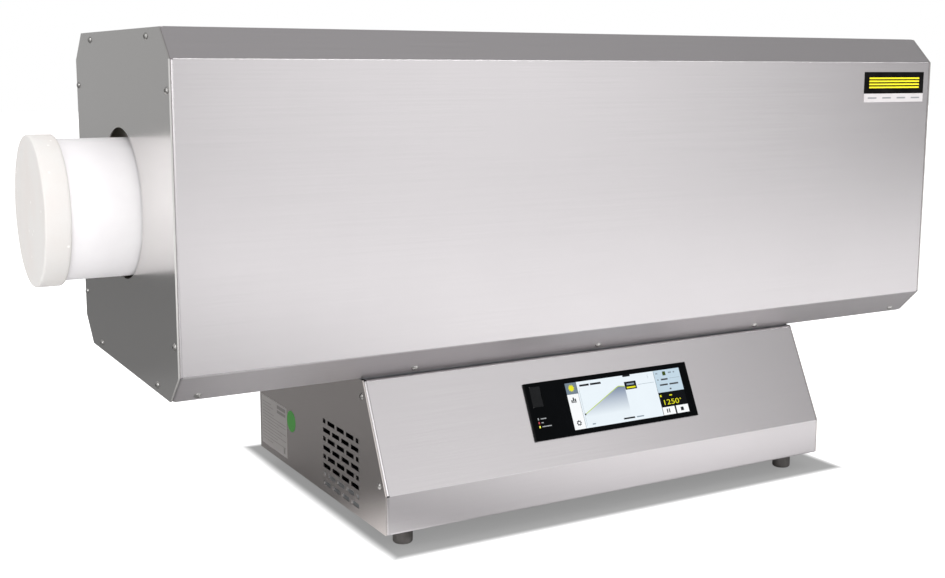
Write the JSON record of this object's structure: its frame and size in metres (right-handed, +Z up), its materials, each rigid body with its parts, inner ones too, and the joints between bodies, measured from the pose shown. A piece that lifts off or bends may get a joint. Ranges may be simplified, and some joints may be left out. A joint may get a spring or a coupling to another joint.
{
  "type": "tube furnace",
  "caption": "Bench-top horizontal tube furnace with an eight-sided sheet-steel casing, a plugged ceramic working tube and a sloping controller base.",
  "frame": {"origin": "middle of the overall box on the floor, under the feet", "axes": "+X along the working tube towards the end away from the vents seen in use, +Y to the rear, +Z up"},
  "size_m": [1.3906, 0.465, 0.623],
  "materials": {
    "casing_steel": "satin brushed stainless steel sheet",
    "plate_steel": "satin brushed stainless steel plate",
    "base_steel": "satin brushed stainless steel sheet",
    "zinc_sheet": "zinc-plated sheet",
    "screw_steel": "plated steel",
    "lining_fibre": "vacuum-formed ceramic fibre, white and matt",
    "plug_fibre": "vacuum-formed ceramic fibre, lightly mottled",
    "strap_steel": "stainless band",
    "heating_alloy": "oxidised heating alloy",
    "white_ceramic": "dense alumina, satin",
    "terminal_brass": "machined brass",
    "black_moulding": "moulded plastic, fine texture",
    "foot_rubber": "matt rubber",
    "grommet_rubber": "matt rubber",
    "front_glass": "black gloss",
    "screen": "lit touch screen",
    "display_plastic": "moulded plastic",
    "circuit_board": "solder-resist green",
    "socket_steel": "plated shell",
    "flap_plastic": "satin black",
    "pin_steel": "drawn wire",
    "sink_aluminium": "extruded, plain",
    "terminal_plastic": "moulded plastic",
    "supply_case": "folded and perforated cover"
  },
  "bodies": {
    "furnace": {"hood": "casing_steel", "floor_tray": "casing_steel", "left_end_plate": "plate_steel", "right_end_plate": "plate_steel", "left_end_screws": "screw_steel", "right_end_screws": "screw_steel", "hood_screws": "screw_steel", "lower_lining": "lining_fibre", "upper_lining": "lining_fibre", "lining_straps": "strap_steel", "left_cradle": "zinc_sheet", "right_cradle": "zinc_sheet", "heating_wire": "heating_alloy", "terminal_bushes": "white_ceramic", "terminal_clamps": "terminal_brass", "thermocouple_sheath": "white_ceramic", "thermocouple_head": "black_moulding", "saddle_plate": "zinc_sheet", "casing_bolts": "screw_steel", "casing_nuts": "screw_steel", "wire_grommet": "grommet_rubber", "front_panel": "base_steel", "rear_panel": "base_steel", "left_side_panel": "base_steel", "right_side_panel": "base_steel", "left_panel_screws": "screw_steel", "right_panel_screws": "screw_steel", "base_tray": "zinc_sheet", "front_left_foot": "foot_rubber", "front_right_foot": "foot_rubber", "rear_left_foot": "foot_rubber", "rear_right_foot": "foot_rubber", "foot_screws": "screw_steel", "foot_nuts": "screw_steel", "controller_glass": "front_glass", "touch_screen": "screen", "display_unit": "display_plastic", "controller_housing": "black_moulding", "controller_board": "circuit_board", "data_socket": "socket_steel", "flap_pin": "pin_steel", "panel_clamps": "zinc_sheet", "mounting_plate": "zinc_sheet", "plate_screws": "screw_steel", "heat_sink": "sink_aluminium", "solid_state_relay": "black_moulding", "din_rail": "zinc_sheet", "terminal_row": "terminal_plastic", "contactor": "black_moulding", "power_supply": "supply_case", "cable_gland": "black_moulding", "gland_nut": "black_moulding"},
    "tube": {"working_tube": "white_ceramic"},
    "left_plug": {"left_end_plug": "plug_fibre"},
    "right_plug": {"right_end_plug": "plug_fibre"},
    "flap": {"socket_flap": "flap_plastic"}
  },
  "joints": [
    {"name": "tube_slide", "type": "slide", "parent": "furnace", "child": "tube", "axis": [1, 0, 0], "range_m": [-0.078, 0.078]},
    {"name": "left_plug_pull", "type": "slide", "parent": "tube", "child": "left_plug", "axis": [-1, 0, 0], "range_m": [0, 0.1]},
    {"name": "right_plug_pull", "type": "slide", "parent": "tube", "child": "right_plug", "axis": [1, 0, 0], "range_m": [0, 0.1]},
    {"name": "flap_hinge", "type": "hinge", "parent": "furnace", "child": "flap", "pos_m": [-0.1219, -0.19427, 0.15693], "axis": [0, -0.4361, -0.8999], "range_deg": [0, 100]}
  ]
}
